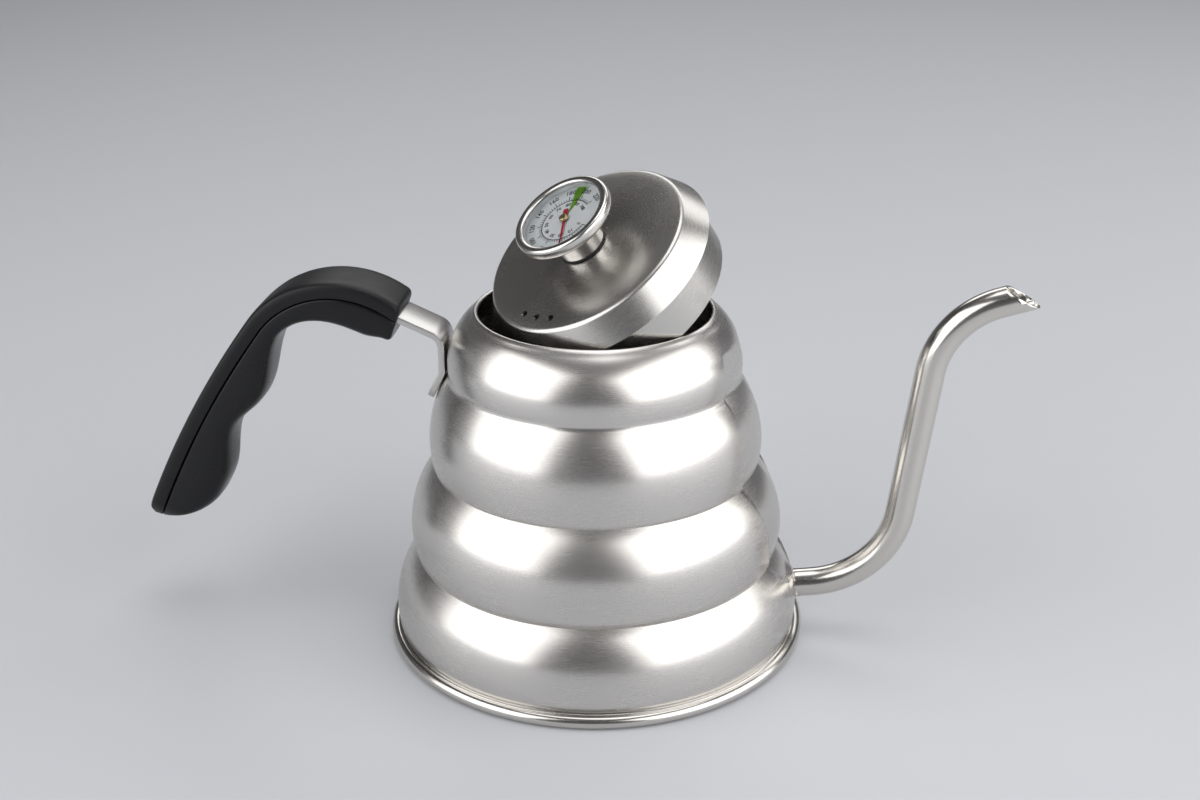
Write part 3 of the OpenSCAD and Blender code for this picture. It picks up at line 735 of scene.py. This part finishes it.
# %% Brushed steel round an axis
def brushed(name, color, roughness, place, across=3000.0, around=6.0, anisotropy=0.4, bump=0.02,
            spread=0.03):
    mat, nodes, links, shader = new_material(name, color, 1.0, roughness)
    coord = nodes.new("ShaderNodeTexCoord")
    mapping = nodes.new("ShaderNodeMapping")
    inverse = place.inverted()
    mapping.inputs["Location"].default_value = inverse.to_translation() * MM
    mapping.inputs["Rotation"].default_value = inverse.to_euler("XYZ")
    links.new(coord.outputs["Object"], mapping.inputs["Vector"])
    parts = nodes.new("ShaderNodeSeparateXYZ")
    links.new(mapping.outputs["Vector"], parts.inputs["Vector"])
    x, y, z = parts.outputs
    squares = [math_node(nodes, links, "MULTIPLY", side, side) for side in (x, y)]
    radius = math_node(nodes, links, "SQRT", math_node(nodes, links, "ADD", *squares))
    radius = math_node(nodes, links, "MAXIMUM", radius, 0.0005)
    pack = nodes.new("ShaderNodeCombineXYZ")
    for side, socket in ((x, "X"), (y, "Y")):
        share = math_node(nodes, links, "DIVIDE", side, radius)
        links.new(math_node(nodes, links, "MULTIPLY", share, around), pack.inputs[socket])
    width = math_node(nodes, links, "SUBTRACT", z, radius)
    links.new(math_node(nodes, links, "MULTIPLY", width, across), pack.inputs["Z"])
    lines = noise(nodes, links, pack.outputs["Vector"], 1.0, 4.0, 0.65)
    cloud = noise(nodes, links, mapping.outputs["Vector"], 28.0, 3.0)
    rough = math_node(nodes, links, "ADD",
                      ranged(nodes, links, lines, roughness - spread, roughness + spread),
                      ranged(nodes, links, cloud, -0.025, 0.025))
    links.new(rough, shader.inputs["Roughness"])
    tint = nodes.new("ShaderNodeMix")
    tint.data_type = "RGBA"
    tint.inputs["A"].default_value = (*[c * 0.96 for c in color], 1)
    tint.inputs["B"].default_value = (*[min(1, c * 1.02) for c in color], 1)
    links.new(ranged(nodes, links, lines, 0, 1), tint.inputs["Factor"])
    links.new(tint.outputs["Result"], shader.inputs["Base Color"])
    lift = nodes.new("ShaderNodeBump")
    lift.inputs["Strength"].default_value = bump
    lift.inputs["Distance"].default_value = 0.0002
    links.new(lines, lift.inputs["Height"])
    links.new(lift.outputs["Normal"], shader.inputs["Normal"])
    shader.inputs["Anisotropic"].default_value = anisotropy
    return mat


STEEL = (0.64, 0.62, 0.595)
body_steel = brushed("steel_brushed_body", STEEL, 0.27, Matrix(), bump=0.012, spread=0.016)
lid_steel = brushed("steel_brushed_lid", (0.58, 0.565, 0.54), 0.27, LID, anisotropy=0.3, bump=0.01,
                    spread=0.014)
base_steel = brushed("steel_satin_base", (0.60, 0.58, 0.55), 0.2, Matrix(), anisotropy=0.2)
SPOUT_AXIS_X, STRAP_AXIS_X = 106, -300
spout_steel = brushed("steel_polished_spout", (0.66, 0.64, 0.60), 0.2,
                      Matrix.Translation((SPOUT_AXIS_X, 0, 0)), across=900, around=14,
                      anisotropy=0.0, bump=0.01, spread=0.02)
strap_steel = brushed("steel_satin_strap", (0.60, 0.59, 0.57), 0.3,
                      Matrix.Translation((STRAP_AXIS_X, 0, 0)), across=2600, anisotropy=0.0)
case_steel = brushed("steel_polished_case", (0.68, 0.66, 0.64), 0.22, LID, anisotropy=0.1, bump=0.008,
                     spread=0.02)
screw_steel = brushed("steel_machined", (0.5, 0.49, 0.47), 0.3, LID)
brass = brushed("brass_turned", (0.62, 0.47, 0.25), 0.3, LID)
print("metals:", [mat.name for mat in (body_steel, lid_steel, base_steel, spout_steel, strap_steel, brass)])


# %% [markdown]
# The grip is moulded in black plastic: a fine spark texture on the cap, smoother and shinier below. Rubber
# is duller still, and the dial card has a slight mottle. They differ only in colour, gloss and grain, so
# one function makes them all from two noises. The glass needs no grain, only a faint tint.

# %% Plastics, rubber, paint and glass
def moulded(name, color, roughness, grain, bump, gloss=0.5, spread=0.06):
    mat, nodes, links, shader = new_material(name, color, 0.0, roughness)
    coord = nodes.new("ShaderNodeTexCoord")
    grain_noise = noise(nodes, links, coord.outputs["Object"], grain, 2.0)
    wear = noise(nodes, links, coord.outputs["Object"], 60.0, 4.0)
    links.new(ranged(nodes, links, wear, roughness - spread, roughness + spread), shader.inputs["Roughness"])
    tint = nodes.new("ShaderNodeMix")
    tint.data_type = "RGBA"
    tint.inputs["A"].default_value = (*[c * 0.85 for c in color], 1)
    tint.inputs["B"].default_value = (*[min(1, c * 1.15) for c in color], 1)
    links.new(wear, tint.inputs["Factor"])
    links.new(tint.outputs["Result"], shader.inputs["Base Color"])
    lift = nodes.new("ShaderNodeBump")
    lift.inputs["Strength"].default_value = bump
    lift.inputs["Distance"].default_value = 0.0001
    links.new(grain_noise, lift.inputs["Height"])
    links.new(lift.outputs["Normal"], shader.inputs["Normal"])
    shader.inputs["Specular IOR Level"].default_value = gloss
    return mat


grip_satin = moulded("plastic_satin_black", (0.006, 0.006, 0.007), 0.4, 4200, 0.2, gloss=0.3)
grip_gloss = moulded("plastic_gloss_black", (0.004, 0.004, 0.005), 0.27, 2500, 0.05, gloss=0.34)
rubber = moulded("silicone_black", (0.012, 0.012, 0.012), 0.6, 3000, 0.1)
card = moulded("card_white", (0.86, 0.87, 0.89), 0.5, 2500, 0.02, spread=0.02)
print_black = moulded("ink_black", (0.02, 0.02, 0.025), 0.5, 2500, 0.02, spread=0.02)
print_green = moulded("ink_green", (0.28, 0.66, 0.03), 0.5, 2500, 0.02, spread=0.02)
needle_red = moulded("paint_red", (0.75, 0.02, 0.04), 0.35, 2500, 0.02, spread=0.02)
glass, nodes, links, shader = new_material("glass_clear", (0.97, 0.99, 1.0), 0.0, 0.02)
shader.inputs["Transmission Weight"].default_value = 1.0
shader.inputs["IOR"].default_value = 1.45
print("materials so far:", len(bpy.data.materials))

# %% Give every piece its finish
finishes = {
    "kettle_body": body_steel, "base_bead": base_steel, "spout": spout_steel, "spout_seam": spout_steel,
    "strap": strap_steel, "grip_cap": grip_satin, "grip_fingers": grip_gloss, "lid_top": lid_steel,
    "lid_plug": lid_steel, "stem_seal": rubber, "dial_neck": case_steel, "dial_case": case_steel,
    "dial_bezel": case_steel, "dial_glass": glass, "dial_card": card, "dial_ticks": print_black,
    "dial_zone": print_green, "dial_numbers": print_black, "needle": needle_red, "needle_hub": brass}
for name, mat in finishes.items():
    made[name].data.materials.clear()
    made[name].data.materials.append(mat)
# The lens gasket gets the white card finish as a painted reflection: its white stands in for the dial's
# bright reflection in the bezel's inner wall, where shade would otherwise show as a dark ring.
kept_nodes = {"grip_screw_front": screw_steel, "grip_screw_rear": screw_steel, "grommet_washer": screw_steel,
              "lens_gasket": card, "stem_tube": case_steel, "stem_tip": case_steel, "upper_bush": brass,
              "lower_bush": brass, "bimetal_coil": brass, "pointer_shaft": screw_steel}
for node, mat in kept_nodes.items():
    holder = frame["nodes"][node]
    if not holder.material_slots:
        holder.data.materials.append(mat)
    for part in holder.material_slots:
        part.material = mat
print("finished pieces:", len(finishes) + len(kept_nodes))

# %% [markdown]
# ## Floor, light and camera
# Polished steel shows whatever is round it, so small lamps would leave hard spots. The kettle stands on a
# pale sweep between two large soft lights at its sides, and the space above stays dark for the lid to
# mirror.

# %% Floor
floor_bm = bmesh.new()
bmesh.ops.create_grid(floor_bm, x_segments=2, y_segments=2, size=6.0)
floor_mesh = bpy.data.meshes.new("floor")
floor_bm.to_mesh(floor_mesh)
floor_bm.free()
floor = bpy.data.objects.new("floor", floor_mesh)
bpy.context.scene.collection.objects.link(floor)
floor_mat, nodes, links, shader = new_material("floor_paper", (0.53, 0.54, 0.57), 0.0, 0.55)
coord = nodes.new("ShaderNodeTexCoord")
paper = noise(nodes, links, coord.outputs["Object"], 900, 2.0)
lift = nodes.new("ShaderNodeBump")
lift.inputs["Strength"].default_value = 0.02
lift.inputs["Distance"].default_value = 0.0002
links.new(paper, lift.inputs["Height"])
links.new(lift.outputs["Normal"], shader.inputs["Normal"])
floor.data.materials.append(floor_mat)
print("floor:", [round(side, 1) for side in floor.dimensions])


# %% Lights
def softbox(name, azimuth, elevation, far, width, height, power, color=(1, 1, 1)):
    light = bpy.data.lights.new(name, "AREA")
    light.shape, light.size, light.size_y = "RECTANGLE", width, height
    light.energy, light.color = power, color
    holder = bpy.data.objects.new(name, light)
    a, e = math.radians(azimuth), math.radians(elevation)
    way = Vector((math.cos(a) * math.cos(e), math.sin(a) * math.cos(e), math.sin(e)))
    holder.location = Vector((0, 0, 0.06)) + way * far
    holder.rotation_euler = way.to_track_quat("Z", "Y").to_euler()
    bpy.context.scene.collection.objects.link(holder)
    return holder


softbox("left_box", 214, 26, 1.3, 1.5, 1.3, 14)
softbox("right_box", 341, 26, 1.3, 2.1, 1.3, 21)
softbox("top_box", 60, 84, 1.9, 1.3, 1.3, 10)
softbox("backdrop_box", 83, 38, 2.2, 2.6, 0.9, 14)
print("lights:", len(bpy.data.lights))

# %% Sky
# Tone of the surroundings from straight below to straight above
SKY = [(0.0, (0.16, 0.16, 0.17)), (0.25, (0.09, 0.09, 0.095)), (0.66, (0.045, 0.042, 0.038)),
       (0.86, (0.12, 0.12, 0.12)), (1.0, (0.3, 0.3, 0.31))]
world = bpy.data.worlds.new("studio")
bpy.context.scene.world = world
world.use_nodes = True
nodes, links = world.node_tree.nodes, world.node_tree.links
coord = nodes.new("ShaderNodeTexCoord")
parts = nodes.new("ShaderNodeSeparateXYZ")
links.new(coord.outputs["Generated"], parts.inputs["Vector"])
fade = nodes.new("ShaderNodeValToRGB")
for at, tone in SKY[1:-1]:
    fade.color_ramp.elements.new(at)
for stop, (at, tone) in zip(fade.color_ramp.elements, SKY):
    stop.position, stop.color = at, (*tone, 1)
links.new(parts.outputs["Z"], fade.inputs["Fac"])
links.new(fade.outputs["Color"], nodes["Background"].inputs["Color"])
nodes["Background"].inputs["Strength"].default_value = 1.0

# %% Camera
camera = bpy.data.cameras.new("camera")
camera.sensor_width, camera.lens = 36.0, 48.48
camera.clip_start, camera.clip_end = 0.01, 50
camera_at = bpy.data.objects.new("camera", camera)
bpy.context.scene.collection.objects.link(camera_at)
swing, pan, pitch, roll = [math.radians(a) for a in (7, 0.178, 22.97, -0.297)]
EYE_BACK, EYE_UP = 0.5, 0.295
ahead = Vector((math.sin(pan) * math.cos(pitch), math.cos(pan) * math.cos(pitch), -math.sin(pitch)))
ahead.rotate(Matrix.Rotation(swing, 3, "Z"))
eye = Vector((0, -EYE_BACK, EYE_UP))
eye.rotate(Matrix.Rotation(swing, 3, "Z"))
camera_at.location = eye
look = ahead.to_track_quat("-Z", "Y").to_matrix() @ Matrix.Rotation(roll, 3, "Z")
camera_at.rotation_euler = look.to_euler()
bpy.context.scene.camera = camera_at
bpy.context.scene.view_settings.view_transform = "Standard"
print("camera at", [round(v, 3) for v in eye])
